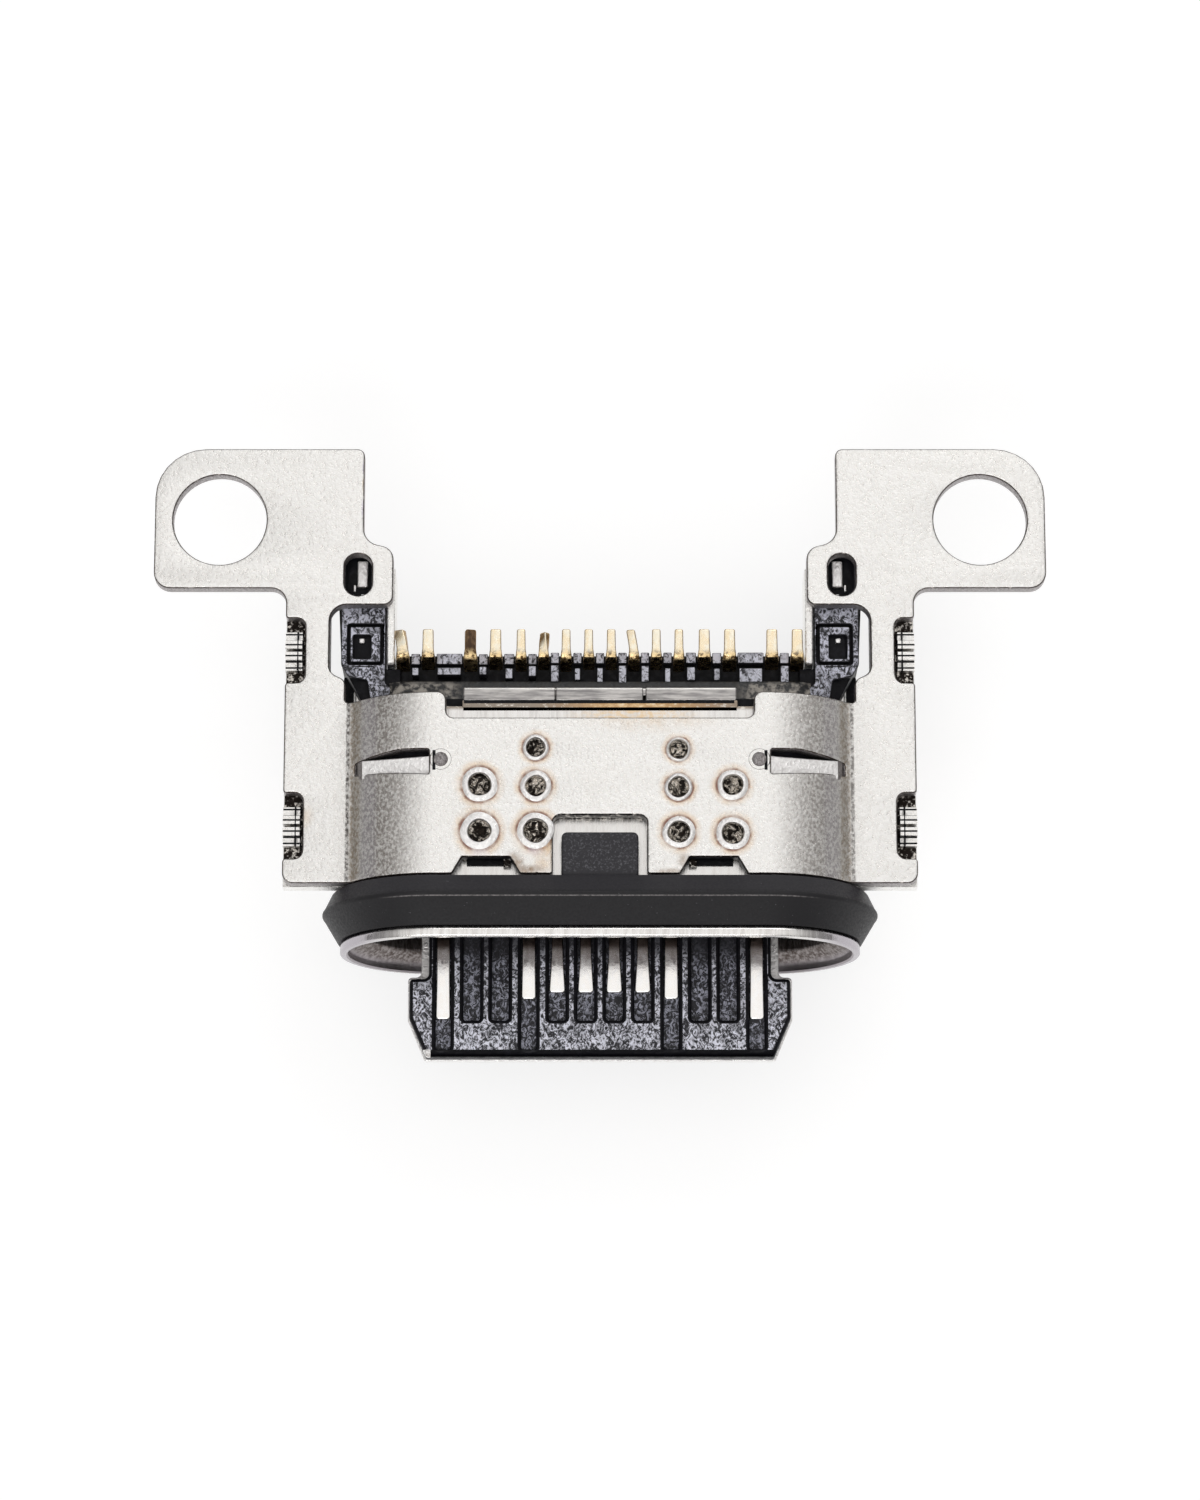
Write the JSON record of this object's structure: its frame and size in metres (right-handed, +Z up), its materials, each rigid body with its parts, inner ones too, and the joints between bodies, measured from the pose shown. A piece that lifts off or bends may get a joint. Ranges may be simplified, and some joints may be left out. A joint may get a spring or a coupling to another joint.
{
  "type": "usb-c socket",
  "caption": "Sealed board-edge USB-C socket: stamped bracket with screw ears, flared mouth with a silicone ring, tongue standing out, gold tails in a comb.",
  "frame": {"origin": "midway between the two screw holes, on the underside of the ears", "axes": "+X across the mouth, +Y away from the mouth towards the ears, +Z up, out of the screwed face"},
  "size_m": [0.0158, 0.0109, 0.004],
  "materials": {
    "bracket_nickel": "stamped, nickel plated, fine matte grain, heat tint round the welds",
    "shell_steel": "drawn, bright, fine draw lines",
    "seal_silicone": "moulded silicone, matte",
    "tongue_plastic": "glass-filled, mottled blue-black",
    "housing_plastic": "glass-filled, mottled blue-black",
    "plate_steel": "sheared edges",
    "potting_resin": "cured sealing resin, satin",
    "contact_gold": "gold plated, darker towards the comb"
  },
  "bodies": {
    "root": {"mounting_bracket": "bracket_nickel", "lower_shell": "bracket_nickel", "inner_shell": "shell_steel", "seal_ring": "seal_silicone", "upper_wafer": "tongue_plastic", "lower_wafer": "tongue_plastic", "mid_plate": "plate_steel", "rear_housing": "housing_plastic", "potting": "potting_resin", "rear_shield": "shell_steel", "contact_a1": "contact_gold", "contact_a4": "contact_gold", "contact_a5": "contact_gold", "contact_a6": "contact_gold", "contact_a7": "contact_gold", "contact_a8": "contact_gold", "contact_a9": "contact_gold", "contact_a12": "contact_gold", "contact_b1": "contact_gold", "contact_b4": "contact_gold", "contact_b5": "contact_gold", "contact_b6": "contact_gold", "contact_b7": "contact_gold", "contact_b8": "contact_gold", "contact_b9": "contact_gold", "contact_b12": "contact_gold"}
  },
  "joints": []
}
